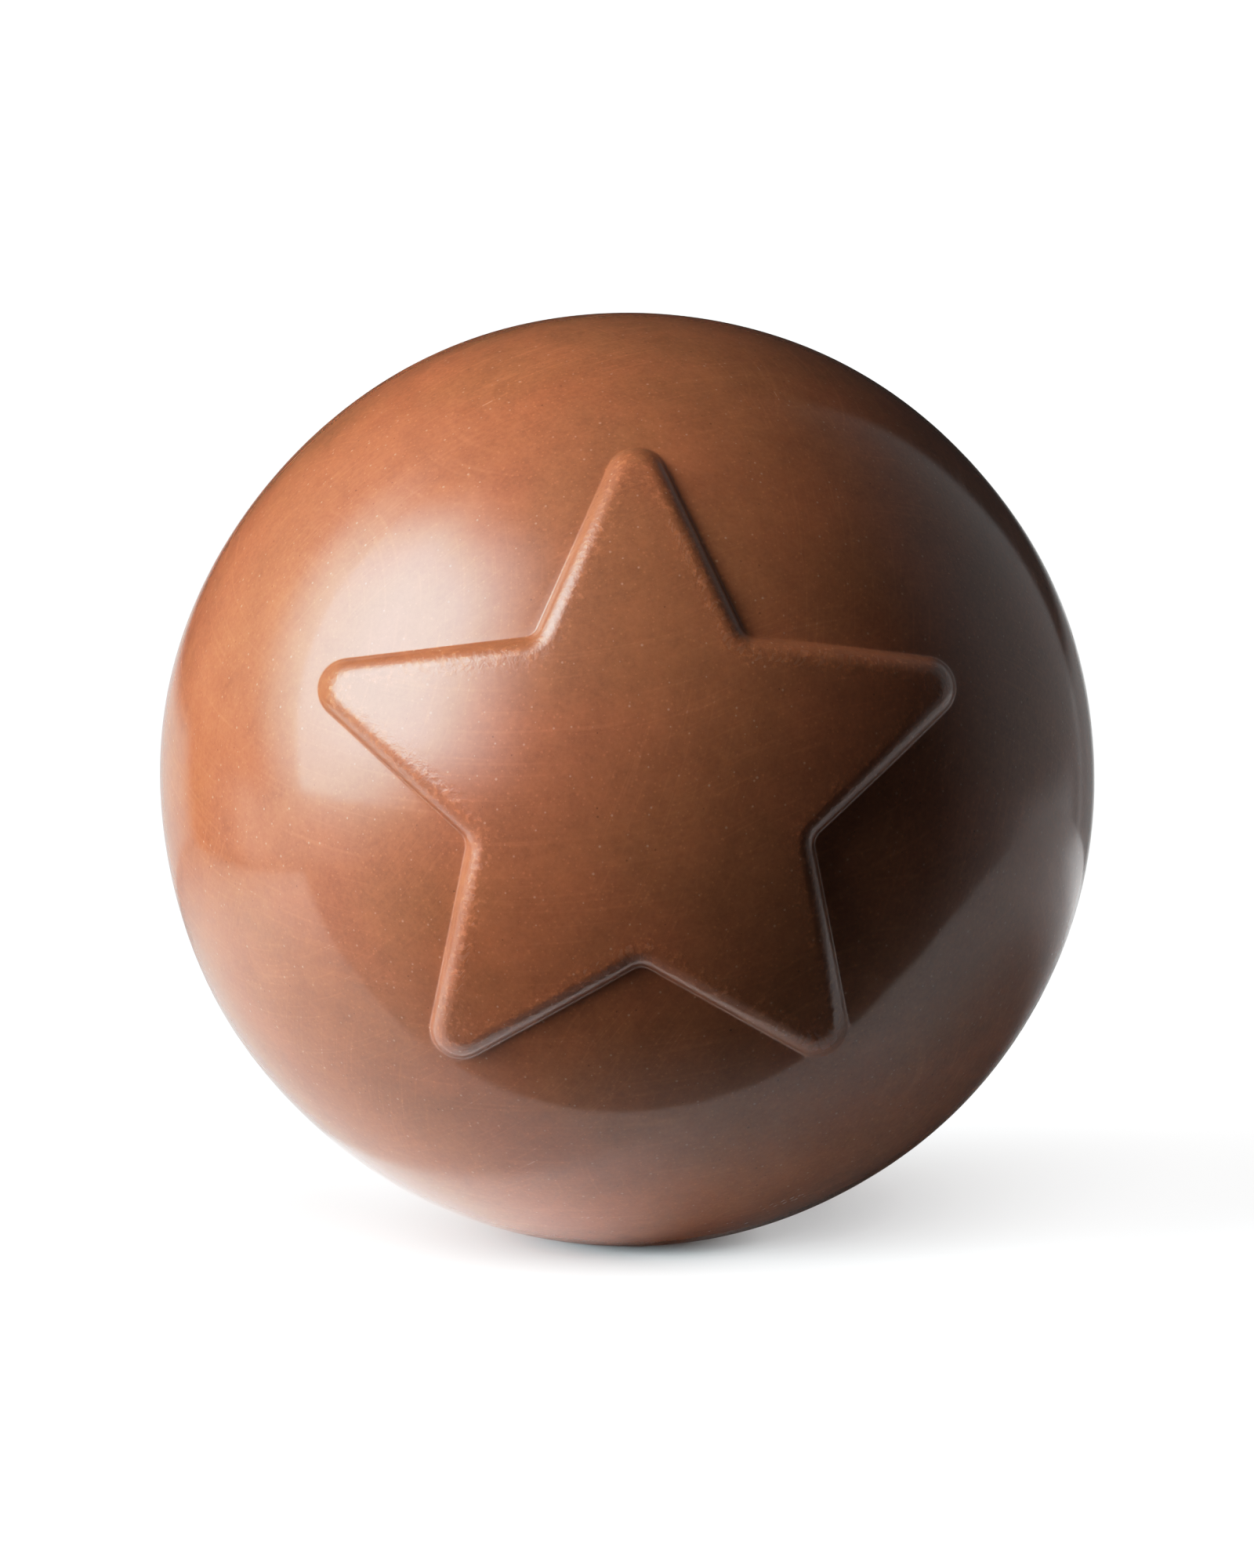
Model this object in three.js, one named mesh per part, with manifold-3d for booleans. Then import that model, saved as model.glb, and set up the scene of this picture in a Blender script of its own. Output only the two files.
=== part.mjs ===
// A moulded milk chocolate sphere for melting into hot milk, with a raised star on its front.
// Millimetres, +Z up. The star faces -Y, and the origin is the centre of the small flat spot that it rests on.
import * as THREE from "three";
import { mergeVertices } from "three/addons/utils/BufferGeometryUtils.js";
import Module from "manifold-3d";

// Driving sizes of the ball
const ballDiameter = 60;
const restDepth = 0.22; // how much of the ball's bottom is worn flat where it stands
const starLean = 7.0; // degrees: the star looks up by this much
const starTurn = 1.6; // degrees: and this much to its left, the viewer's right

// The raised star, seen along its own axis. Radii are those of the sharp corners before rounding.
const starPoints = 5;
const tipRadius = 20.4;
const notchRadius = 9.7;
const tipRound = 0.75; // corner radius of the star's top face at a tip
const notchRound = 2.2; // and in a notch

// The star's edge in section: a round shoulder, and a tight fillet where it meets the ball
const shoulderRadius = 1.15;
const filletRadius = 0.16;
const wallAngle = 72; // degrees from the ball's surface, where shoulder and fillet meet

// Low waves of the hand-polished surface: a height, and the direction and number of waves across the ball.
// They fade out towards the bottom, so that it stands upright.
const calmBelow = -0.8; // height in ball radii at which they start to fade
const waves = [
  { height: 0.045, along: [0.8, 0.35, 0.5], turns: 2.3, phase: 0.4 },
  { height: 0.035, along: [-0.45, 0.2, 0.87], turns: 3.1, phase: 2.1 },
  { height: 0.025, along: [0.3, -0.9, 0.3], turns: 3.7, phase: 4.4 },
];

// Mesh fineness: faces along each stretch of the outline, and rings on each zone of the ball
const tipSteps = 2;
const edgeSteps = 6;
const notchSteps = 2;
const faceRings = 6;
const shoulderRings = 4;
const filletRings = 1;
const frontRings = 10;
const backRings = 15;

const radians = THREE.MathUtils.degToRad;
const starAxis = new THREE.Vector3(0, 0, 1); // while the star is made; it is turned to the front at the end
const ballRadius = ballDiameter / 2;
const ballCentreZ = ballRadius - restDepth;
const wall = radians(wallAngle);
const shoulderWidth = shoulderRadius * Math.sin(wall);
const reliefHeight = (shoulderRadius + filletRadius) * (1 - Math.cos(wall));

// Half the angle of a tip, and half the open angle of a notch
const sector = Math.PI / starPoints;
const halfTip = Math.atan2(notchRadius * Math.sin(sector), tipRadius - notchRadius * Math.cos(sector));
const halfNotch = halfTip + sector;

// The section of the star's edge as rings: how far each lies outside the top face's outline, and how high it stands
function edgeSection() {
  const rings = [];
  for (let i = 0; i <= shoulderRings; i++) {
    const slope = (wall * i) / shoulderRings;
    rings.push({
      outside: shoulderRadius * Math.sin(slope),
      height: reliefHeight - shoulderRadius * (1 - Math.cos(slope)),
    });
  }
  for (let i = 1; i <= filletRings; i++) {
    const slope = wall * (1 - i / filletRings);
    rings.push({
      outside: shoulderWidth + filletRadius * (Math.sin(wall) - Math.sin(slope)),
      height: filletRadius * (1 - Math.cos(slope)),
    });
  }
  return rings;
}

// One point on an arc of the outline, in the star's flat view
function arcPoint(direction, centreDistance, radius, angle) {
  return new THREE.Vector2(
    centreDistance * Math.cos(direction) + radius * Math.cos(angle),
    centreDistance * Math.sin(direction) + radius * Math.sin(angle),
  );
}

// The star's outline at a distance outside the top face's own: round tips and notches joined by straight edges.
// The arcs keep their centres, so every such outline has the same points in the same order.
function starOutline(outside) {
  const points = [];
  const tipCentre = tipRadius - tipRound / Math.sin(halfTip);
  const notchCentre = notchRadius + notchRound / Math.sin(halfNotch);
  const tipSweep = Math.PI / 2 - halfTip;
  const notchSweep = Math.PI / 2 - halfNotch;
  const tipArc = (direction, share) =>
    arcPoint(direction, tipCentre, tipRound + outside, direction + share * tipSweep);
  const notchArc = (direction, share) =>
    arcPoint(direction, notchCentre, notchRound - outside, direction + Math.PI - share * notchSweep);
  const addEdge = (from, to) => {
    for (let i = 1; i < edgeSteps; i++) points.push(from.clone().lerp(to, i / edgeSteps));
  };
  for (let k = 0; k < starPoints; k++) {
    const tip = Math.PI / 2 + 2 * k * sector;
    const notch = tip + sector;
    for (let i = -tipSteps; i <= tipSteps; i++) points.push(tipArc(tip, i / tipSteps));
    addEdge(tipArc(tip, 1), notchArc(notch, -1));
    for (let i = -notchSteps; i <= notchSteps; i++) points.push(notchArc(notch, i / notchSteps));
    addEdge(notchArc(notch, 1), tipArc(tip + 2 * sector, -1));
  }
  return points;
}

// Height of the surface's low waves in one direction from the ball's centre
function waveHeight(direction) {
  let height = 0;
  for (const wave of waves) {
    const along = new THREE.Vector3(...wave.along).normalize().dot(direction);
    height += wave.height * Math.sin(Math.PI * wave.turns * along + wave.phase);
  }
  return height * THREE.MathUtils.smoothstep(direction.z, -1, calmBelow);
}

// The ring of points that lies over a flat outline, on the ball or raised above it. Z is the star's own axis.
function raisedRing(outline, height) {
  const radius = ballRadius + height;
  return outline.map((p) => new THREE.Vector3(p.x, p.y, Math.sqrt(radius ** 2 - p.lengthSq())));
}

// A ring part of the way from the star's foot to the ball's great circle, easing from star to circle
function frontRing(foot, share) {
  return foot.map((p, i) => {
    const polar = THREE.MathUtils.lerp(p.angleTo(starAxis), Math.PI / 2, share);
    const even = Math.PI / 2 + (2 * Math.PI * (i - tipSteps)) / foot.length;
    const atFoot = Math.atan2(p.y, p.x);
    const drift = Math.atan2(Math.sin(even - atFoot), Math.cos(even - atFoot));
    return ballPoint(polar, atFoot + drift * share);
  });
}

// A point of the plain ball: its angle from the star's axis, and its angle round it
function ballPoint(polar, around) {
  return new THREE.Vector3(
    ballRadius * Math.sin(polar) * Math.cos(around),
    ballRadius * Math.sin(polar) * Math.sin(around),
    ballRadius * Math.cos(polar),
  );
}

// All rings from the middle of the star to just before the ball's far pole
function ballRings() {
  const rings = [];
  const topOutline = starOutline(0);
  for (let i = 1; i < faceRings; i++) {
    const share = i / faceRings;
    rings.push(raisedRing(topOutline.map((p) => p.clone().multiplyScalar(share)), reliefHeight));
  }
  for (const { outside, height } of edgeSection()) rings.push(raisedRing(starOutline(outside), height));
  const foot = rings[rings.length - 1];
  for (let i = 1; i <= frontRings; i++) rings.push(frontRing(foot, i / frontRings));
  const greatCircle = rings[rings.length - 1];
  for (let i = 1; i < backRings; i++) {
    const polar = (Math.PI / 2) * (1 + i / backRings);
    rings.push(greatCircle.map((p) => ballPoint(polar, Math.atan2(p.y, p.x))));
  }
  return rings;
}

// A sphere geometry whose rows of vertices are laid along those rings, still with the star's axis along Z
function ballGeometry() {
  const rings = ballRings();
  const columns = rings[0].length;
  const geometry = new THREE.SphereGeometry(ballRadius, columns, rings.length + 1);
  const position = geometry.getAttribute("position");
  const placed = new THREE.Vector3();
  for (let i = 0; i < position.count; i++) {
    const row = Math.floor(i / (columns + 1));
    const column = i % (columns + 1);
    if (row === 0) placed.set(0, 0, ballRadius + reliefHeight);
    else if (row > rings.length) placed.set(0, 0, -ballRadius);
    else placed.copy(rings[row - 1][column % columns]);
    position.setXYZ(i, placed.x, placed.y, placed.z);
  }
  geometry.deleteAttribute("normal");
  geometry.deleteAttribute("uv");
  return mergeVertices(geometry);
}

// Lifts or lowers every point of the ball, already the right way up, onto the waves
function addWaves(ball) {
  const position = ball.getAttribute("position");
  const placed = new THREE.Vector3();
  for (let i = 0; i < position.count; i++) {
    placed.fromBufferAttribute(position, i);
    const direction = placed.clone().normalize();
    placed.addScaledVector(direction, waveHeight(direction));
    position.setXYZ(i, placed.x, placed.y, placed.z);
  }
}

const wasm = await Module();
wasm.setup();

function solidOf(geometry) {
  const merged = mergeVertices(geometry);
  return new wasm.Manifold(
    new wasm.Mesh({
      numProp: 3,
      vertProperties: merged.getAttribute("position").array,
      triVerts: new Uint32Array(merged.getIndex().array),
    }),
  );
}

function geometryOf(solid) {
  const mesh = solid.getMesh();
  const geometry = new THREE.BufferGeometry();
  geometry.setAttribute("position", new THREE.BufferAttribute(mesh.vertProperties, 3));
  geometry.setIndex(new THREE.BufferAttribute(mesh.triVerts, 1));
  geometry.computeVertexNormals();
  return geometry;
}

// The ball in place: the star turned to the front, and the bottom cut flat at the ground
function restingBall() {
  const ball = ballGeometry();
  ball.rotateX(radians(90 - starLean));
  ball.rotateZ(radians(starTurn));
  addWaves(ball);
  ball.translate(0, 0, ballCentreZ);
  const ground = new THREE.BoxGeometry(ballDiameter, ballDiameter, ballDiameter);
  ground.translate(0, 0, -ballDiameter / 2);
  ground.deleteAttribute("normal");
  ground.deleteAttribute("uv");
  return geometryOf(solidOf(ball).subtract(solidOf(ground)));
}

const milkChocolate = new THREE.MeshStandardMaterial({
  color: new THREE.Color(0.315, 0.105, 0.043),
  roughness: 0.3,
  metalness: 0,
});

const sphere = new THREE.Mesh(restingBall(), milkChocolate);
sphere.name = "chocolate_sphere";

const group = new THREE.Group();
group.add(sphere);
export default group;
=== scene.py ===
import math

import bpy
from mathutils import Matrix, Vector


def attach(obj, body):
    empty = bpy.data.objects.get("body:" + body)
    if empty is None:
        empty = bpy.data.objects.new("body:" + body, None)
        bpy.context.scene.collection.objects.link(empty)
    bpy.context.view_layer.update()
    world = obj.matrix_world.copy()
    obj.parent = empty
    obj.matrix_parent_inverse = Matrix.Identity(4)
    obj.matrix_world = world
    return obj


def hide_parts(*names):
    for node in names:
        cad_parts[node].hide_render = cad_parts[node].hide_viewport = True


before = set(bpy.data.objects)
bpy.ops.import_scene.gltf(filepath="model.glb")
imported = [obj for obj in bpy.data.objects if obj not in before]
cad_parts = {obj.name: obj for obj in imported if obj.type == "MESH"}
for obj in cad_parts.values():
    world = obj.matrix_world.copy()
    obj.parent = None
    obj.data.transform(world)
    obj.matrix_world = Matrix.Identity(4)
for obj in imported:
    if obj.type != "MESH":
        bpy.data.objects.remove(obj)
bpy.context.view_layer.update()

mm = 0.001
nodeSpacing = {"across": 200, "down": 180, "perColumn": 12}  # how the nodes lie in their editor
noiseLacunarity = 2.8  # how much finer each further step of a noise is


class Wire:
    # One socket of a node tree. Sums and products of wires add Math nodes, or Vector Math for vectors.
    def __init__(self, tree, socket=None):
        self.tree = tree
        self.socket = socket

    def node(self, kind, settings=None, inputs=None, output=0):
        made = self.tree.nodes.new(kind)
        column, row = divmod(len(self.tree.nodes), nodeSpacing["perColumn"])
        made.location = (nodeSpacing["across"] * column, -nodeSpacing["down"] * row)
        for name, value in (settings or {}).items():
            setattr(made, name, value)
        for name, value in (inputs or {}).items():
            if isinstance(value, Wire):
                self.tree.links.new(value.socket, made.inputs[name])
            else:
                made.inputs[name].default_value = value
        return Wire(self.tree, made.outputs[output] if len(made.outputs) else None)

    def output(self, name):
        return Wire(self.tree, self.socket.node.outputs[name])

    def isVector(self):
        return self.socket.type in ("VECTOR", "RGBA")

    def math(self, operation, *values, clamp=False):
        settings = {"operation": operation, "use_clamp": clamp}
        return self.node("ShaderNodeMath", settings, dict(enumerate((self, *values))))

    def vectorMath(self, operation, *values, output=0):
        inputs = dict(enumerate((self, *values)))
        return self.node("ShaderNodeVectorMath", {"operation": operation}, inputs, output)

    def length(self):
        return self.vectorMath("LENGTH", output="Value")

    def distance(self, point):
        return self.vectorMath("DISTANCE", point, output="Value")

    def combine(self, operation, first, second):
        values = (first, second)
        kind = "ShaderNodeMath"
        if any(isinstance(value, Wire) and value.isVector() for value in values):
            kind = "ShaderNodeVectorMath"
            values = [value if isinstance(value, (Wire, tuple)) else (value,) * 3 for value in values]
        return self.node(kind, {"operation": operation}, dict(enumerate(values)))

    def __add__(self, other):
        return self.combine("ADD", self, other)

    def __radd__(self, other):
        return self.combine("ADD", other, self)

    def __sub__(self, other):
        return self.combine("SUBTRACT", self, other)

    def __rsub__(self, other):
        return self.combine("SUBTRACT", other, self)

    def __mul__(self, other):
        return self.combine("MULTIPLY", self, other)

    def __rmul__(self, other):
        return self.combine("MULTIPLY", other, self)

    def __truediv__(self, other):
        return self.combine("DIVIDE", self, other)

    def __rtruediv__(self, other):
        return self.combine("DIVIDE", other, self)

    def share(self):
        # the value kept between 0 and 1
        return self.math("ADD", 0, clamp=True)

    def smooth(self, low, high):
        # rises smoothly from 0 at low to 1 at high
        return self.node(
            "ShaderNodeMapRange",
            {"interpolation_type": "SMOOTHSTEP"},
            {"Value": self, "From Min": low, "From Max": high},
        )

    def mix(self, first, second):
        # a colour: first where the value is 0, second where it is 1; sockets 6 and 7 take the colours
        return self.node("ShaderNodeMix", {"data_type": "RGBA"}, {0: self, 6: first, 7: second}, output=2)


ballSizes = {
    "ballRadius": 29.97 * mm,
    "restDepth": 0.22 * mm,  # how much of the bottom is worn flat
    "restSoft": 0.06 * mm,  # over which the flat's edge is rounded
    "starLean": 7.0,  # degrees: the star looks up by this much
    "starTurn": 1.6,  # degrees: and this much to its left
    "tipRadius": 20.4 * mm,  # to the sharp corners, before rounding
    "notchRadius": 9.7 * mm,
    "tipRound": 0.75 * mm,
    "notchRound": 2.2 * mm,
    "shoulderRadius": 1.15 * mm,  # the star's round upper edge, in section
    "filletRadius": 0.16 * mm,  # where its wall meets the ball
    "wallAngle": 72.0,  # degrees, where shoulder and fillet meet
    "calmBelow": -0.8,  # the waves fade out from here to the bottom, in ball radii
    "rippleHeight": 0.012 * mm,  # small unevenness that bends the reflections
    "rippleSize": 9 * mm,
    "rimStart": 0.84,  # share of the star's top face, from its middle, where its worn rim begins
    "rimFull": 0.35,  # and the shares of its round edge over which that rim ends
    "rimEnd": 0.95,
}
ballSteps = {
    "starPoints": 5,
    "tipSteps": 10,  # faces along each half of a tip's arc
    "edgeSteps": 20,
    "notchSteps": 10,
    "faceRings": 30,
    "shoulderRings": 14,
    "filletRings": 6,
    "frontRings": 66,
    "backRings": 80,
}
ballWaves = [  # low waves of the polished surface: height, direction, number and start
    {"height": 0.045 * mm, "along": (0.8, 0.35, 0.5), "turns": 2.3, "phase": 0.4},
    {"height": 0.035 * mm, "along": (-0.45, 0.2, 0.87), "turns": 3.1, "phase": 2.1},
    {"height": 0.025 * mm, "along": (0.3, -0.9, 0.3), "turns": 3.7, "phase": 4.4},
]
ballRipple = {"Detail": 2.0, "Roughness": 0.4}  # of the noise that makes the small unevenness


def unitVector(angle):
    return angle.node("ShaderNodeCombineXYZ", None, {0: angle.math("COSINE"), 1: angle.math("SINE")})


def starColumn(size, column):
    # The star's outline at one column of points: the top face's own point, its outward direction, the
    # angle of the tip it belongs to, how far it is from that tip's axis to the next notch's, -1 to 1, and
    # how long a way that is
    sector = math.pi / size["starPoints"]
    halfSteps = size["tipSteps"] + size["edgeSteps"] + size["notchSteps"]
    notchSide = size["notchRadius"] * sector.math("SINE")
    notchAhead = size["tipRadius"] - size["notchRadius"] * sector.math("COSINE")
    halfTip = notchSide.math("ARCTAN2", notchAhead)
    tipSweep = math.pi / 2 - halfTip
    notchSweep = tipSweep - sector
    tipCentre = size["tipRadius"] - size["tipRound"] / halfTip.math("SINE")
    notchCentre = size["notchRadius"] + size["notchRound"] / (halfTip + sector).math("SINE")

    along = column / halfSteps
    tipNumber = ((along + 1) / 2).math("FLOOR")
    fromTip = along - 2 * tipNumber
    steps = fromTip.math("ABSOLUTE") * halfSteps
    tipShare = (steps / size["tipSteps"]).share()
    edgeShare = ((steps - size["tipSteps"]) / size["edgeSteps"]).share()
    notchShare = ((steps - size["tipSteps"] - size["edgeSteps"]) / size["notchSteps"]).share()

    tipTurn = tipShare * tipSweep
    notchTurn = tipSweep - notchShare * notchSweep
    wallWay = unitVector(tipSweep)
    tipStart = unitVector(0 * sector) * tipCentre
    tipEnd = tipStart + wallWay * size["tipRound"]
    notchStart = unitVector(sector) * notchCentre - wallWay * size["notchRound"]
    point = (
        tipStart
        + unitVector(tipTurn) * size["tipRound"]
        + (notchStart - tipEnd) * edgeShare
        - (unitVector(notchTurn) - wallWay) * size["notchRound"]
    )
    outward = unitVector(tipTurn - notchShare * notchSweep)
    tipAngle = math.pi / 2 + 2 * tipNumber * sector
    edgeLength = (notchStart - tipEnd).length()
    run = size["tipRound"] * tipTurn + edgeLength * edgeShare + size["notchRound"] * notchShare * notchSweep
    return point, outward, tipAngle, fromTip, run


def starSection(size, row):
    # The star's edge at one ring of points: how far in from the outline, out from it, and how high it is
    wall = size["wallAngle"].math("RADIANS")
    faceShare = (row / size["faceRings"]).share()
    shoulderShare = ((row - size["faceRings"]) / size["shoulderRings"]).share()
    filletShare = ((row - size["faceRings"] - size["shoulderRings"]) / size["filletRings"]).share()
    shoulderSlope = wall * shoulderShare
    filletSlope = wall * (1 - filletShare)
    outside = (
        size["shoulderRadius"] * shoulderSlope.math("SINE")
        + size["filletRadius"] * (wall.math("SINE") - filletSlope.math("SINE"))
    )
    height = (
        size["shoulderRadius"] * (shoulderSlope.math("COSINE") - wall.math("COSINE"))
        + size["filletRadius"] * (1 - filletSlope.math("COSINE"))
    )
    return faceShare, shoulderShare, outside, height


def waveHeight(size, direction):
    height = 0
    for wave in ballWaves:
        way = tuple(Vector(wave["along"]).normalized())
        along = direction.vectorMath("DOT_PRODUCT", way, output="Value")
        height = wave["height"] * (math.pi * wave["turns"] * along + wave["phase"]).math("SINE") + height
    ripple = direction.node(
        "ShaderNodeTexNoise",
        {"noise_dimensions": "3D"},
        {"Vector": direction, "Scale": size["ballRadius"] / size["rippleSize"], **ballRipple},
    )
    height = height + size["rippleHeight"] * (2 * ripple - 1)
    up = direction.node("ShaderNodeSeparateXYZ", None, {0: direction}, output=2)
    return height * up.smooth(-1.0, size["calmBelow"])


def ballTree(material):
    tree = bpy.data.node_groups.new("chocolateBall", "GeometryNodeTree")
    for name in ballSizes:
        tree.interface.new_socket(name=name, in_out="INPUT", socket_type="NodeSocketFloat")
    for name in ballSteps:
        tree.interface.new_socket(name=name, in_out="INPUT", socket_type="NodeSocketInt")
    tree.interface.new_socket(name="Mesh", in_out="OUTPUT", socket_type="NodeSocketGeometry")
    start = Wire(tree).node("NodeGroupInput")
    size = {name: start.output(name) for name in (*ballSizes, *ballSteps)}

    columns = 2 * size["starPoints"] * (size["tipSteps"] + size["edgeSteps"] + size["notchSteps"])
    starRings = size["faceRings"] + size["shoulderRings"] + size["filletRings"]
    rings = starRings + size["frontRings"] + size["backRings"]
    sphere = {"Segments": columns, "Rings": rings, "Radius": 1.0}
    grid = start.node("GeometryNodeMeshUVSphere", None, sphere)

    # the sphere's points are numbered ring by ring, after one for the pole
    number = start.node("GeometryNodeInputIndex") - 1
    row = (number / columns).math("FLOOR") + 1
    column = number.math("FLOORED_MODULO", columns)
    point, outward, tipAngle, fromTip, run = starColumn(size, column)
    faceShare, shoulderShare, outside, height = starSection(size, row)
    flat = point * faceShare + outward * outside
    flatParts = flat.node("ShaderNodeSeparateXYZ", None, {0: flat})
    flatAngle = flatParts.output("Y").math("ARCTAN2", flatParts.output("X")) * fromTip.math("SIGN")

    # out from the star's foot the rings ease to a great circle, and from there to the far pole
    frontShare = ((row - starRings) / size["frontRings"]).share()
    backShare = ((row - starRings - size["frontRings"]) / size["backRings"]).share()
    radius = size["ballRadius"] + height
    sector = math.pi / size["starPoints"]
    footPolar = (flat.length() / radius).math("ARCSINE")
    polar = footPolar + frontShare * (math.pi / 2 - footPolar) + backShare * (math.pi / 2)
    around = unitVector(tipAngle + flatAngle + frontShare * (fromTip * sector - flatAngle))
    axis = start.node("ShaderNodeCombineXYZ", None, {2: polar.math("COSINE")})
    placed = (around * polar.math("SINE") + axis) * radius

    turn = start.node(
        "ShaderNodeCombineXYZ",
        None,
        {0: (90 - size["starLean"]).math("RADIANS"), 2: size["starTurn"].math("RADIANS")},
    )
    placed = start.node(
        "ShaderNodeVectorRotate", {"rotation_type": "EULER_XYZ"}, {"Vector": placed, "Rotation": turn}
    )
    direction = placed.vectorMath("NORMALIZE")
    placed = placed + direction * waveHeight(size, direction)

    # lifted onto the table, with the bottom worn flat
    parts = start.node("ShaderNodeSeparateXYZ", None, {0: placed})
    lifted = parts.output("Z") + size["ballRadius"] - size["restDepth"]
    standing = lifted.math("SMOOTH_MAX", 0.0, size["restSoft"])
    axes = {0: parts.output("X"), 1: parts.output("Y"), 2: standing}
    place = start.node("ShaderNodeCombineXYZ", None, axes)
    shaped = start.node("GeometryNodeSetPosition", None, {"Geometry": grid, "Position": place})
    rim = faceShare.smooth(size["rimStart"], 1.0)
    rim = rim * (1 - shoulderShare.smooth(size["rimFull"], size["rimEnd"]))
    marked = shaped
    for name, value in {"rim": rim, "run": run}.items():
        marked = start.node(
            "GeometryNodeStoreNamedAttribute",
            {"data_type": "FLOAT", "domain": "POINT"},
            {"Geometry": marked, "Name": name, "Value": value},
        )
    smooth = start.node("GeometryNodeSetShadeSmooth", None, {"Geometry": marked, "Shade Smooth": True})
    whole = start.node("GeometryNodeRealizeInstances", None, {"Geometry": smooth})
    dressed = start.node("GeometryNodeSetMaterial", None, {"Geometry": whole, "Material": material})
    start.node("NodeGroupOutput", None, {"Mesh": dressed})
    return tree


def plainMesh(source, name):
    # The evaluated modifier result as a mesh of its own, in a new object
    graph = bpy.context.evaluated_depsgraph_get()
    mesh = bpy.data.meshes.new_from_object(source.evaluated_get(graph), depsgraph=graph)
    piece = bpy.data.objects.new(name, mesh)
    bpy.context.scene.collection.objects.link(piece)
    bpy.data.objects.remove(source)
    return piece


def makeBall(material):
    seed = bpy.data.objects.new("ballSeed", bpy.data.meshes.new("ballSeed"))
    bpy.context.scene.collection.objects.link(seed)
    shaper = seed.modifiers.new("ballShape", "NODES")
    shaper.node_group = ballTree(material)
    for socket in shaper.node_group.interface.items_tree:
        if socket.in_out == "INPUT":
            shaper[socket.identifier] = {**ballSizes, **ballSteps}[socket.name]
    ball = plainMesh(seed, "chocolateBall")
    ball.data.name = "chocolateBall"
    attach(ball, "root")
    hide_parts("chocolate_sphere")
    return ball


chocolateLook = {
    "warmColour": (0.328, 0.104, 0.0435),
    "oliveColour": (0.3, 0.105, 0.0425),
    # each Edge below is where a noise begins to show, and where it is full
    "toneSize": 11 * mm,  # of the patches of either colour
    "toneEdge": (-0.2, 0.2),
    "gloss": 0.1,  # roughness of the polished surface
    "scratchedGloss": 0.2,
    "haze": 0.2,  # a wider, weaker gloss over it, from scratches too fine to see
    "hazeRoughness": 0.42,
    "hazeIor": 2.0,
    "subsurface": 0.15,
    "subsurfaceScale": 0.5 * mm,
    "subsurfaceRadius": (1.0, 0.35, 0.15),  # red light goes deepest
    "mottleSize": 3.6 * mm,  # of the coarsest unevenness of the colour
    "mottleSteps": (2.0, 0.85),  # finer steps with it, and how strong each is to the one before
    "mottleColour": 0.62,
    "mottleHeight": 0.004 * mm,
    "grainSize": 0.24 * mm,
    "grainSteps": (1.0, 0.7),
    "grainColour": 0.4,
    "grainHeight": 0.0007 * mm,
    # pale colour of light specks in the chocolate, with painted glints of small glossy facets
    "speckAndGlintColour": (0.66, 0.4, 0.27),
    "spotEdge": 0.45,  # share of a spot's radius where it begins to fade
    "scratchEdge": (0.6, 0.78),
    "scratchPatch": 11 * mm,  # size of the patches that scratches lie in
    "scratchPatchEdge": (-0.12, 0.12),
    "rubSize": 0.34 * mm,  # of the marks along the star's upper edge
    "rubEdge": (0.02, 0.2),
    # how much lighter that rim is: worn scuffs, with a painted highlight along the star's upper edge
    "rubAndHighlightColour": 0.35,
    "rubHeight": 0.03 * mm,
    "rubbedGloss": 0.2,
    "toothLength": 0.9 * mm,  # of the marks across that edge, how far apart they are, and their groups
    "toothApart": 0.24 * mm,
    "teethApart": 5 * mm,
    "toothEdge": (0.48, 0.62),
    "teethEdge": (-0.08, 0.1),
    "toothRim": (0.7, 0.95),  # how far out on the rim they begin
    "toothGloss": 0.34,
    "toothHeight": 0.003 * mm,
}
# Spots, in millimetres: how far apart they lie in the chocolate, the least and the largest radius, which
# share of the places has one, and how much they change the colour at their middle
chocolateSpots = {
    "crumbs": {"apart": 0.36, "radii": (0.05, 0.11), "share": (0.0, 0.9), "strength": 0.28},
    # light specks in the chocolate, partly painted glints of small glossy facets
    "specksAndGlints": {"apart": 0.58, "radii": (0.05, 0.115), "share": (0.0, 0.5), "strength": 0.36},
    # dark spots: painted shade of small pits, which the surface itself does not have
    "pitShade": {"apart": 0.58, "radii": (0.05, 0.1), "share": (0.8, 0.92), "strength": -0.45},
}
# Fine scratches along arcs round a middle: how wide and long they are, and how much lighter
chocolateScratches = [
    {"middle": (40 * mm, -60 * mm, -20 * mm), "width": 0.15 * mm, "length": 5 * mm, "colour": 0.13},
    {"middle": (-70 * mm, -50 * mm, 60 * mm), "width": 0.12 * mm, "length": 4 * mm, "colour": 0.12},
    {"middle": (-10 * mm, -30 * mm, 90 * mm), "width": 0.2 * mm, "length": 8 * mm, "colour": 0.12},
]


def noise(place, size, detail=0.0, roughness=0.5):
    # 0 on average, mostly between -0.5 and 0.5
    inputs = {"Vector": place, "Scale": 1 / size, "Detail": detail, "Roughness": roughness}
    inputs["Lacunarity"] = noiseLacunarity
    return place.node("ShaderNodeTexNoise", {"noise_dimensions": "3D"}, inputs) - 0.5


def streaks(along, across):
    # 4D noise: streaks that run where across stays the same
    inputs = {"Vector": along, "W": across, "Scale": 1.0, "Detail": 0.0}
    return along.node("ShaderNodeTexNoise", {"noise_dimensions": "4D"}, inputs)


def spotCells(place, apart):
    # the distance to the nearest spot's middle, and two random numbers that are its own
    cells = place.node("ShaderNodeTexVoronoi", {"feature": "F1"}, {"Vector": place, "Scale": 1 / apart})
    own = place.node("ShaderNodeSeparateColor", None, {0: cells.output("Color")})
    return cells, own, own.output("Green")


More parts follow.
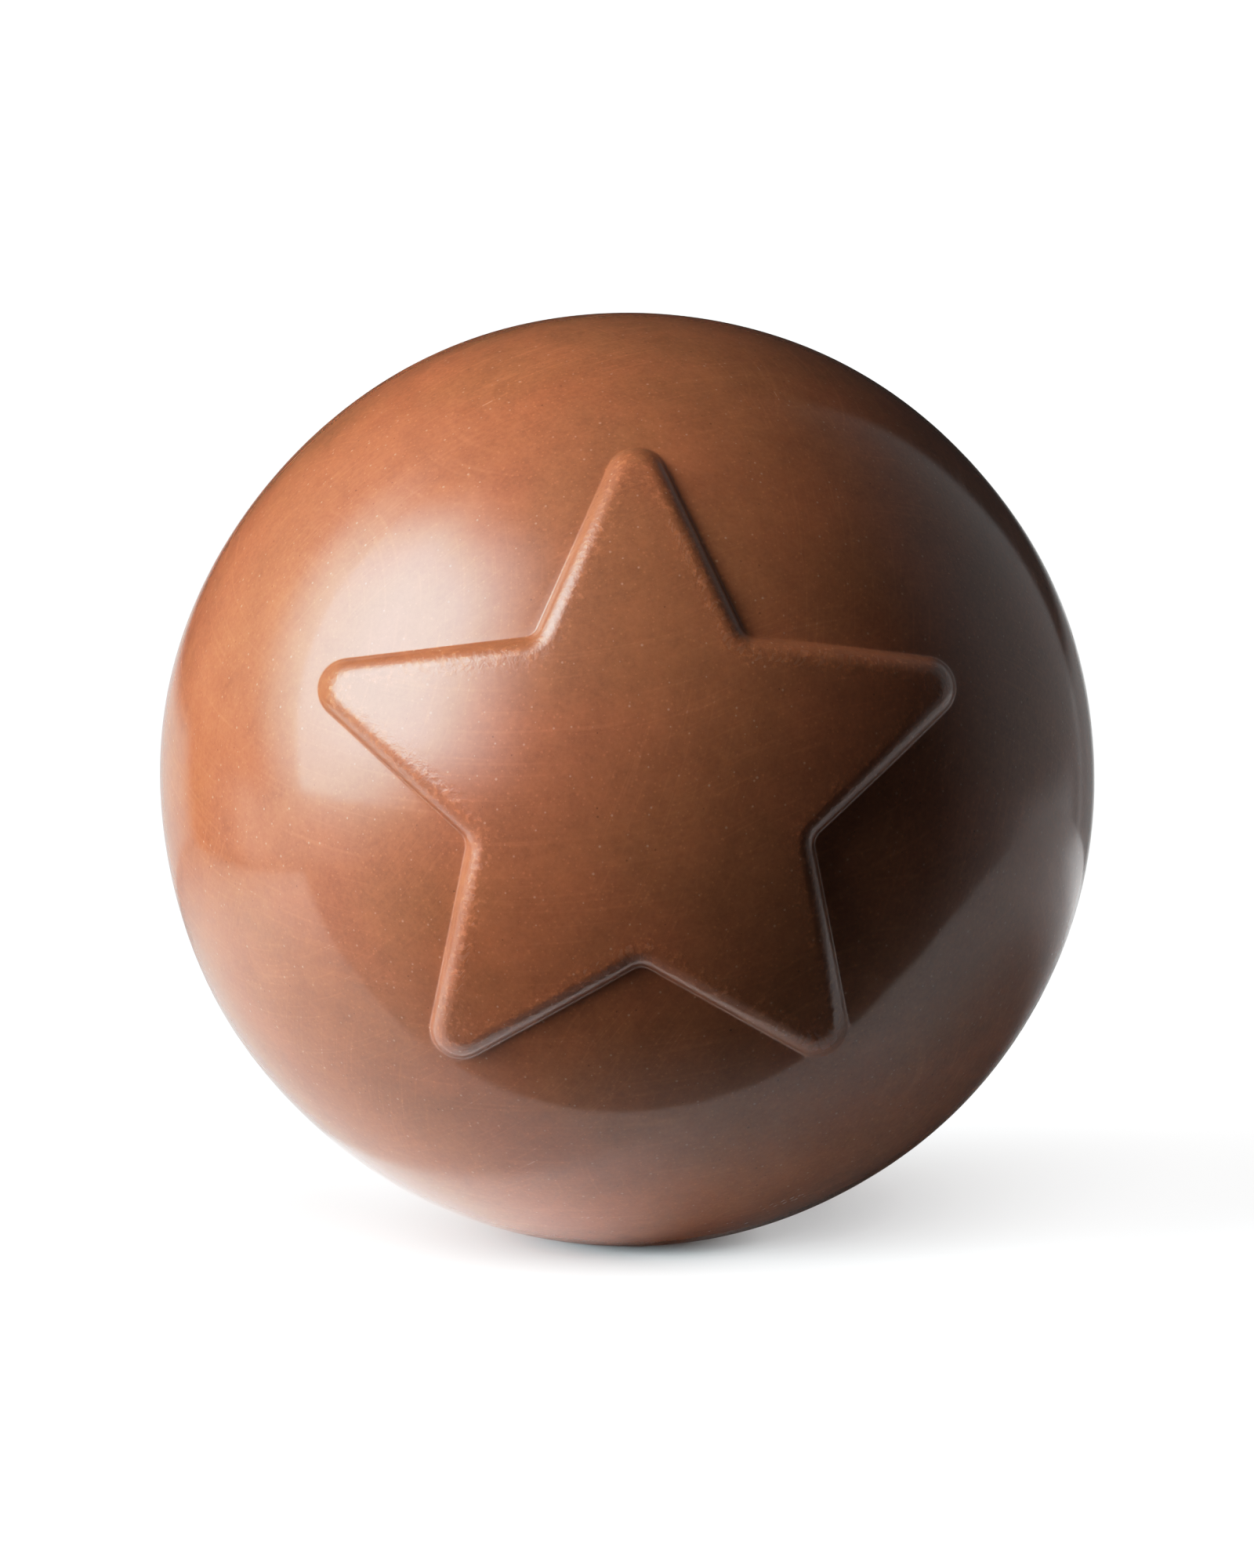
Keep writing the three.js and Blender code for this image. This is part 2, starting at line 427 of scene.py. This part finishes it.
def spots(cells, spot):
    # the spot's strength at the middle of each, 0 between them
    distance, chance, chosenSize = cells
    smallest, largest = spot["radii"]
    radius = (smallest + (largest - smallest) * chosenSize) / spot["apart"]  # in cells
    first, last = spot["share"]
    there = chance.math("GREATER_THAN", first) * chance.math("LESS_THAN", last)
    return spot["strength"] * there * (1 - (distance / radius).smooth(chocolateLook["spotEdge"], 1.0))


def scratches(place, scratch):
    # thin broken lines along arcs round a middle, in patches
    away = place.distance(scratch["middle"]) / scratch["width"]
    lines = streaks(place * (1 / scratch["length"]), away)
    patches = noise(place + scratch["middle"], chocolateLook["scratchPatch"])
    return lines.smooth(*chocolateLook["scratchEdge"]) * patches.smooth(*chocolateLook["scratchPatchEdge"])


def rimTeeth(place, run):
    # short dull marks that lie across the star's edge, side by side, in groups
    marks = streaks(place * (1 / chocolateLook["toothLength"]), run / chocolateLook["toothApart"])
    groups = noise(place, chocolateLook["teethApart"])
    return marks.smooth(*chocolateLook["toothEdge"]) * groups.smooth(*chocolateLook["teethEdge"])


def makeChocolate():
    look = chocolateLook
    material = bpy.data.materials.new("milkChocolate")
    material.use_nodes = True
    tree = material.node_tree
    tree.nodes.clear()
    start = Wire(tree)
    place = start.node("ShaderNodeTexCoord").output("Object")
    rim = start.node("ShaderNodeAttribute", {"attribute_name": "rim"}).output("Fac")
    run = start.node("ShaderNodeAttribute", {"attribute_name": "run"}).output("Fac")

    mottle = noise(place, look["mottleSize"], *look["mottleSteps"])
    grain = noise(place, look["grainSize"], *look["grainSteps"])
    lines, rough = 0, look["gloss"]
    for scratch in chocolateScratches:
        these = scratches(place, scratch)
        lines = these * scratch["colour"] + lines
        rough = these * (look["scratchedGloss"] - look["gloss"]) + rough
    fineCells = spotCells(place, chocolateSpots["crumbs"]["apart"] * mm)
    wideCells = spotCells(place, chocolateSpots["specksAndGlints"]["apart"] * mm)
    crumbs = spots(fineCells, chocolateSpots["crumbs"])
    specksAndGlints = spots(wideCells, chocolateSpots["specksAndGlints"])
    # painted shade of small pits
    pitShade = spots(wideCells, chocolateSpots["pitShade"])
    rub = rim * noise(place, look["rubSize"], detail=1.0)
    rubbed = rub.smooth(*look["rubEdge"])
    teeth = rim.smooth(*look["toothRim"]) * rimTeeth(place, run)

    shade = 1 + mottle * look["mottleColour"] + grain * look["grainColour"]
    # the rubbed rim is lighter: worn scuffs, and a painted highlight along the star's upper edge
    shade = shade + lines + rubbed * look["rubAndHighlightColour"]
    tones = noise(place, look["toneSize"], detail=1.0).smooth(*look["toneEdge"])
    colour = tones.mix((*look["warmColour"], 1), (*look["oliveColour"], 1)) * (shade + crumbs + pitShade)
    # light specks, partly painted glints
    colour = specksAndGlints.mix(colour, (*look["speckAndGlintColour"], 1))
    height = mottle * look["mottleHeight"] + grain * look["grainHeight"]
    height = height + rub * look["rubHeight"] - teeth * look["toothHeight"]
    dull = rough + rubbed * (look["rubbedGloss"] - look["gloss"])
    dull = dull + teeth * (look["toothGloss"] - look["gloss"])
    bump = start.node("ShaderNodeBump", None, {"Strength": 1.0, "Distance": 1.0, "Height": height})
    shader = start.node(
        "ShaderNodeBsdfPrincipled",
        None,
        {
            "Base Color": colour,
            "Roughness": dull,
            "Coat Weight": look["haze"],
            "Coat Roughness": look["hazeRoughness"],
            "Coat IOR": look["hazeIor"],
            "Subsurface Weight": look["subsurface"],
            "Subsurface Radius": look["subsurfaceRadius"],
            "Subsurface Scale": look["subsurfaceScale"],
            "Normal": bump,
        },
    )
    start.node("ShaderNodeOutputMaterial", None, {"Surface": shader})
    return material


cameraView = {
    "elevation": 7.5,  # degrees above the table
    "distance": 500 * mm,  # to the ball's centre
    "frame": (1600, 2000),  # the picture's own pixels
    "ballCentre": (801.1, 993.6),  # in those pixels, with the ball's radius
    "ballPixels": 596.0,
    "sensor": 36,  # millimetres wide, as Blender counts it
    "clip": (10 * mm, 20),  # the nearest and the farthest that it sees
}


def makeCamera():
    view = cameraView
    data = bpy.data.cameras.new("camera")
    camera = bpy.data.objects.new("camera", data)
    bpy.context.scene.collection.objects.link(camera)
    elevation = math.radians(view["elevation"])
    centre = Vector((0, 0, ballSizes["ballRadius"] - ballSizes["restDepth"]))
    back = Vector((0, -math.cos(elevation), math.sin(elevation)))
    camera.location = centre + back * view["distance"]
    camera.rotation_mode = "QUATERNION"
    camera.rotation_quaternion = (-back).to_track_quat("-Z", "Y")
    halfAngle = math.asin(ballSizes["ballRadius"] / view["distance"])
    width, height = view["frame"]
    data.sensor_width = view["sensor"]
    data.lens = view["ballPixels"] / math.tan(halfAngle) * data.sensor_width / height
    data.shift_x = (width / 2 - view["ballCentre"][0]) / height
    data.shift_y = (view["ballCentre"][1] - height / 2) / height
    data.clip_start, data.clip_end = view["clip"]
    bpy.context.scene.camera = camera


studio = {
    "ground": 1.8,  # radius of the white floor, and of the white dome over it
    "groundSides": 96,
    "domeSides": 48,
    "domeRings": 12,
    "domeGlow": 2.0,
    "white": 0.88,  # of the floor and the table
    "whiteRoughness": 0.9,
    # one table to mirror and one that gives light, clear of the floor and of each other
    "mirroredDrop": 0.05 * mm,
    "lightDrop": 0.1 * mm,
    # the table, in millimetres, ends just before the ball, and on its right it runs back
    "tableFront": [(-120, -26.5), (44, -26.5), (68, -22), (90, -14), (114, -3), (140, 16), (180, 48)],
    "tableBack": [(180, 140), (-120, 100)],
    # azimuths, as below, over which its near side ends and its other sides begin and end
    "nearSide": (-40, 30),
    "leftSide": ((-180, -150), (-100, -60)),
    "rightSide": ((20, 70), (150, 180)),
    "shadowSide": ((36, 66), (150, 180)),
    "glowShare": 0.52,  # how much of what follows gives light, while the ball mirrors all of it
    "nearGlow": 0.55,  # what the table gains inside a circle, and the circle, with its soft edge
    "nearMiddle": (20 * mm, 16 * mm, 0),
    "nearRadius": (42 * mm, 44 * mm),
    "contactRadius": (3 * mm, 13 * mm),  # it gains nothing inside these
    "leftGlow": 0.35,
    "leftMiddle": (-90 * mm, -16 * mm, 0),
    "leftRadius": (10 * mm, 55 * mm),
    "leftPaintedShade": 0.6,  # painted shade: how much darker the far left is painted, between these distances
    "leftShadeRadius": (60 * mm, 150 * mm),
    "contactPaintedShadow": 0.9,  # painted shadow: how much darker it is painted under the ball's right side
    "contactShadowRadius": (14 * mm, 36 * mm),
    "farGlow": 0.26,  # what it gains on the right, outside the ball's shadow
    "farMiddle": (12 * mm, 38 * mm, 0),
    "farRadius": (26 * mm, 76 * mm),
    "backGlow": 0.43,  # and further back
    "backMiddle": (80 * mm, 112 * mm, 0),
    "backRadius": (15 * mm, 50 * mm),
    "darkRoom": 0.015,  # what is not lit below
    "roomMap": 256,  # pixels of the map that the renderer samples the room's light by
    "leanFrom": 10,  # degrees of height, where a patch that leans has its own azimuths
}
# The big soft light to the left, as the ball mirrors it and as it lights the ball and the table: patches of
# light, each over the one before. Angles are in degrees, as seen from the ball: azimuth from the camera, to
# its right, and height above the table. Soft is how far each edge fades: left, right, bottom and top. Lean
# moves the left edge by so much for each degree of height.
softboxes = {
    "softboxMirrored": {
        "mirrored": True,
        "tint": (1.0, 0.955, 0.99),
        "distance": 300 * mm,
        "reach": ((-122, -19), (-11, 66)),  # azimuths and heights of the piece that carries the patches
        "patches": [
            {
                "azimuths": (-92.5, -60),
                "heights": (-3, 46),
                "soft": (24, 30, 12, 24),
                "lean": -0.5,
                "strength": 3.8,
            },
            {
                "azimuths": (-85.3, -60),
                "heights": (-0.6, 46),
                "soft": (2, 30, 1.6, 24),
                "lean": -0.3,
                "strength": 6.2,
            },
            {
                "azimuths": (-74, -38),
                "heights": (8, 52),
                "soft": (26, 38, 16, 28),
                "lean": -0.3,
                "strength": 9.4,
            },
        ],
    },
    "softboxLight": {
        "mirrored": False,
        "tint": (1.0, 1.0, 1.0),
        "distance": 260 * mm,
        "reach": ((-117, -40), (2.5, 60.5)),
        "patches": [
            {
                "azimuths": (-93, -43),
                "heights": (7.5, 48.5),
                "soft": (48, 6, 10, 24),
                "strength": 12.7,
            },
        ],
    },
}
softboxFaces = (26, 20)  # of each of those pieces, across and up
# What else stands round the table, far off, with the same measures
surroundings = {
    "leftRoom": {"azimuths": (-145, -110), "heights": (0, 60), "soft": (30, 20, 10, 20), "strength": 0.12},
    "leftFloor": {"azimuths": (-110, -62), "heights": (-65, -3), "soft": (10, 40, 60, 8), "strength": 0.6},
    "leftStrip": {"azimuths": (-120, -66), "heights": (-13, -3), "soft": (24, 14, 4, 6), "strength": 0.55},
    "rightWall": {"azimuths": (96, 150), "heights": (-45, 38), "soft": (40, 3, 30, 46), "strength": 0.25},
    "ceiling": {"azimuths": (-170, 10), "heights": (65, 100), "soft": (60, 60, 10, 1), "strength": 0.06},
    "backRight": {"azimuths": (148, 170), "heights": (-22, 0), "soft": (6, 8, 6, 4), "strength": 0.25},
    "backLine": {"azimuths": (112, 142), "heights": (-12, -6), "soft": (20, 6, 4, 6), "strength": 0.3},
    "backLeft": {"azimuths": (168, 222), "heights": (-18, -2), "soft": (8, 10, 4, 4), "strength": 0.8},
    "frontFloor": {"azimuths": (-60, 80), "heights": (-95, -64), "soft": (40, 20, 1, 24), "strength": 0.22},
}
# More soft light on the floor alone: azimuth, height and spread in degrees, and how bright it makes the
# floor. The cool one on the left evens out the warm light that the ball throws there.
floorLights = {
    "frontFill": {"azimuth": 16, "height": 44, "spread": 50, "brightness": (1.0, 1.0, 1.0)},
    "rightFill": {"azimuth": 100, "height": 17, "spread": 34, "brightness": (0.42, 0.42, 0.42)},
    "leftFill": {"azimuth": -60, "height": 8, "spread": 20, "brightness": (0.29, 0.35, 0.37)},
}


def wayTo(azimuth, height):
    # the direction of an azimuth and a height, both in degrees
    azimuth, height = math.radians(azimuth), math.radians(height)
    flat = math.cos(height)
    return Vector((math.sin(azimuth) * flat, -math.cos(azimuth) * flat, math.sin(height)))


def plainMaterial(name, colour, glow=0.0):
    material = bpy.data.materials.new(name)
    material.use_nodes = True
    shader = material.node_tree.nodes["Principled BSDF"]
    shader.inputs["Base Color"].default_value = (*colour, 1)
    shader.inputs["Roughness"].default_value = studio["whiteRoughness"]
    shader.inputs["Specular IOR Level"].default_value = 0.0
    shader.inputs["Emission Color"].default_value = (1, 1, 1, 1)
    shader.inputs["Emission Strength"].default_value = glow
    return material


def stagePiece(name, corners, faces, material):
    mesh = bpy.data.meshes.new(name)
    mesh.from_pydata(corners, [], faces)
    mesh.materials.append(material)
    piece = bpy.data.objects.new(name, mesh)
    bpy.context.scene.collection.objects.link(piece)
    return piece


def showOnlyTo(piece, camera=False, glossy=False, diffuse=False):
    piece.visible_camera = camera
    piece.visible_glossy = glossy
    piece.visible_diffuse = diffuse
    piece.visible_shadow = False
    piece.visible_transmission = False
    piece.visible_volume_scatter = False


def onSide(azimuth, side):
    begins, ends = side
    return azimuth.smooth(*begins) * (1 - azimuth.smooth(*ends))


def beyond(place, middle, radius):
    # rises from 0 inside a circle to 1 outside it
    return place.distance(middle).smooth(*radius)


def makeTableWhite(name, share):
    # the table gains light close to the ball and at the left, and far off on its right; its colour carries
    # painted shade at the far left and a painted shadow under the ball's right side
    material = plainMaterial(name, (studio["white"],) * 3, share)
    shader = material.node_tree.nodes["Principled BSDF"]
    place = Wire(material.node_tree).node("ShaderNodeTexCoord").output("Object")
    azimuth, _ = directionOf(place)
    away = place.length()
    # painted shade at the far left, and a painted shadow where the ball's shadow falls on its right
    leftShade = studio["leftPaintedShade"] * away.smooth(*studio["leftShadeRadius"])
    shade = studio["contactPaintedShadow"] * (1 - away.smooth(*studio["contactShadowRadius"]))
    paintedShade = leftShade * onSide(azimuth, studio["leftSide"]) + shade * onSide(azimuth, studio["shadowSide"])
    white = paintedShade.mix((*(studio["white"],) * 3, 1), (0, 0, 0, 1))
    near = 1 - beyond(place, studio["nearMiddle"], studio["nearRadius"])
    near = near * (1 - azimuth.smooth(*studio["nearSide"])) * away.smooth(*studio["contactRadius"])
    left = 1 - beyond(place, studio["leftMiddle"], studio["leftRadius"])
    far = beyond(place, studio["farMiddle"], studio["farRadius"]) * onSide(azimuth, studio["rightSide"])
    back = 1 - beyond(place, studio["backMiddle"], studio["backRadius"])
    total = studio["nearGlow"] * near + studio["farGlow"] * far
    total = total + studio["leftGlow"] * left + studio["backGlow"] * back
    glow = total.node("ShaderNodeCombineXYZ", None, {0: total, 1: total, 2: total})
    material.node_tree.links.new(white.socket, shader.inputs["Base Color"])
    material.node_tree.links.new(glow.socket, shader.inputs["Emission Color"])
    return material


def makeFloor():
    # the camera sees a floor without end; the ball sees a table with a near edge
    sides = studio["groundSides"]
    around = [2 * math.pi * i / sides for i in range(sides)]
    ground = [(studio["ground"] * math.cos(a), studio["ground"] * math.sin(a), 0) for a in around]
    floor = stagePiece("floor", ground, [range(sides)], plainMaterial("white", (studio["white"],) * 3))
    showOnlyTo(floor, camera=True)
    makeTable("tableMirrored", studio["mirroredDrop"], 1.0, glossy=True)
    makeTable("tableLight", studio["lightDrop"], studio["glowShare"], diffuse=True)
    return floor


def makeTable(name, drop, share, **kinds):
    outline = studio["tableFront"] + studio["tableBack"]
    corners = [(x * mm, y * mm, -drop) for x, y in outline]
    table = stagePiece(name, corners, [range(len(corners))], makeTableWhite(name, share))
    showOnlyTo(table, **kinds)


def makeFloorLights(floor):
    lit = bpy.data.collections.new("litByFills")
    lit.objects.link(floor)
    for name, fill in floorLights.items():
        data = bpy.data.lights.new(name, "SUN")
        data.angle = math.radians(fill["spread"])
        data.color = fill["brightness"]
        data.energy = math.pi / studio["white"] / math.sin(math.radians(fill["height"]))
        lamp = bpy.data.objects.new(name, data)
        bpy.context.scene.collection.objects.link(lamp)
        lamp.rotation_mode = "QUATERNION"
        lamp.rotation_quaternion = wayTo(fill["azimuth"], fill["height"]).to_track_quat("Z", "Y")
        lamp.light_linking.receiver_collection = lit


def spherePiece(radius, centre, azimuths, heights, steps):
    # corners and faces of a piece of a sphere, in so many steps across and up
    (left, right), (bottom, top), (across, up) = azimuths, heights, steps
    corners, faces = [], []
    for i in range(up + 1):
        height = bottom + (top - bottom) * i / up
        for j in range(across + 1):
            azimuth = left + (right - left) * j / across
            corners.append(centre + radius * wayTo(azimuth, height))
    for i in range(up):
        for j in range(across):
            k = i * (across + 1) + j
            faces.append((k, k + 1, k + across + 2, k + across + 1))
    return corners, faces


def makeDome():
    # white all round behind the floor, for the camera alone
    rings, sides = studio["domeRings"], studio["domeSides"]
    corners, faces = spherePiece(studio["ground"], Vector(), (-180, 180), (0, 90), (sides, rings))
    glow = plainMaterial("whiteDome", (0, 0, 0), studio["domeGlow"])
    showOnlyTo(stagePiece("dome", corners, faces, glow), camera=True)


def lightPatch(azimuth, height, patch):
    # 1 inside the patch and 0 outside, with each edge as soft as it says
    left, right = patch["azimuths"]
    bottom, top = patch["heights"]
    softLeft, softRight, softBottom, softTop = patch["soft"]
    middle = (left + right) / 2
    half = (right - left) / 2
    across = (azimuth - middle).math("WRAP", 180.0, -180.0)
    leaning = across
    if "lean" in patch:
        leaning = across - patch["lean"] * (height - studio["leanFrom"])
    inside = leaning.smooth(-half - softLeft / 2, -half + softLeft / 2)
    inside = inside * (1 - across.smooth(half - softRight / 2, half + softRight / 2))
    inside = inside * height.smooth(bottom - softBottom / 2, bottom + softBottom / 2)
    return inside * (1 - height.smooth(top - softTop / 2, top + softTop / 2))


def directionOf(way):
    # azimuth and height in degrees of a wire that holds a direction
    parts = way.node("ShaderNodeSeparateXYZ", None, {0: way.vectorMath("NORMALIZE")})
    azimuth = parts.output("X").math("ARCTAN2", 0 - parts.output("Y")).math("DEGREES")
    height = parts.output("Z").math("ARCSINE").math("DEGREES")
    return azimuth, height


def makeSoftbox(name, box):
    # a piece of a sphere round the ball, that glows in its patches and is clear outside them
    centre = Vector((0, 0, ballSizes["ballRadius"]))
    corners, faces = spherePiece(box["distance"], centre, *box["reach"], softboxFaces)
    material = bpy.data.materials.new(name)
    material.use_nodes = True
    material.node_tree.nodes.clear()
    start = Wire(material.node_tree)
    place = start.node("ShaderNodeTexCoord").output("Object")
    azimuth, height = directionOf(place - tuple(centre))
    shader = start.node("ShaderNodeBsdfTransparent")
    for patch in box["patches"]:
        light = {"Color": (*box["tint"], 1), "Strength": patch["strength"]}
        glow = start.node("ShaderNodeEmission", None, light)
        over = {0: lightPatch(azimuth, height, patch), 1: shader, 2: glow}
        shader = start.node("ShaderNodeMixShader", None, over)
    start.node("ShaderNodeOutputMaterial", None, {"Surface": shader})
    piece = stagePiece(name, corners, faces, material)
    showOnlyTo(piece, glossy=box["mirrored"], diffuse=not box["mirrored"])


def makeSurroundings():
    world = bpy.data.worlds.new("studio")
    bpy.context.scene.world = world
    world.use_nodes = True
    world.cycles.sampling_method = "MANUAL"
    world.cycles.sample_map_resolution = studio["roomMap"]
    world.node_tree.nodes.clear()
    start = Wire(world.node_tree)
    azimuth, height = directionOf(start.node("ShaderNodeTexCoord").output("Generated"))
    glow = studio["darkRoom"]
    for patch in surroundings.values():
        glow = patch["strength"] * lightPatch(azimuth, height, patch) + glow
    background = start.node("ShaderNodeBackground", None, {"Color": (1, 1, 1, 1), "Strength": glow})
    start.node("ShaderNodeOutputWorld", None, {"Surface": background})


brightest = 1.6  # the light that comes out white
# how light is shown: straight up to a bright mid tone, then a soft shoulder, as a camera gives highlights
toneCurve = [(0.0, 0.0), (0.55, 0.55), (0.75, 0.7), (0.95, 0.795), (1.15, 0.867), (1.35, 0.93), (1.6, 1.0)]


def setTone(scene):
    scene.view_settings.view_transform = "Standard"
    scene.view_settings.use_curve_mapping = True
    mapping = scene.view_settings.curve_mapping
    mapping.white_level = (brightest,) * 3
    curve = mapping.curves[3]  # the one for all three colours
    while len(curve.points) < len(toneCurve):
        curve.points.new(0, 0)
    for point, (light, shown) in zip(curve.points, toneCurve):
        point.location = (light / brightest, shown)
        point.handle_type = "VECTOR"
    mapping.update()


ball = makeBall(makeChocolate())
print("ball:", len(ball.data.vertices), "points", len(ball.data.polygons), "faces")
makeCamera()
print("camera:", round(bpy.context.scene.camera.data.lens, 1), "mm lens")
makeFloorLights(makeFloor())
makeDome()
print("floor and dome made,", len(floorLights), "floor lights")
for name, box in softboxes.items():
    makeSoftbox(name, box)
makeSurroundings()
setTone(bpy.context.scene)
print("soft light and surroundings made")
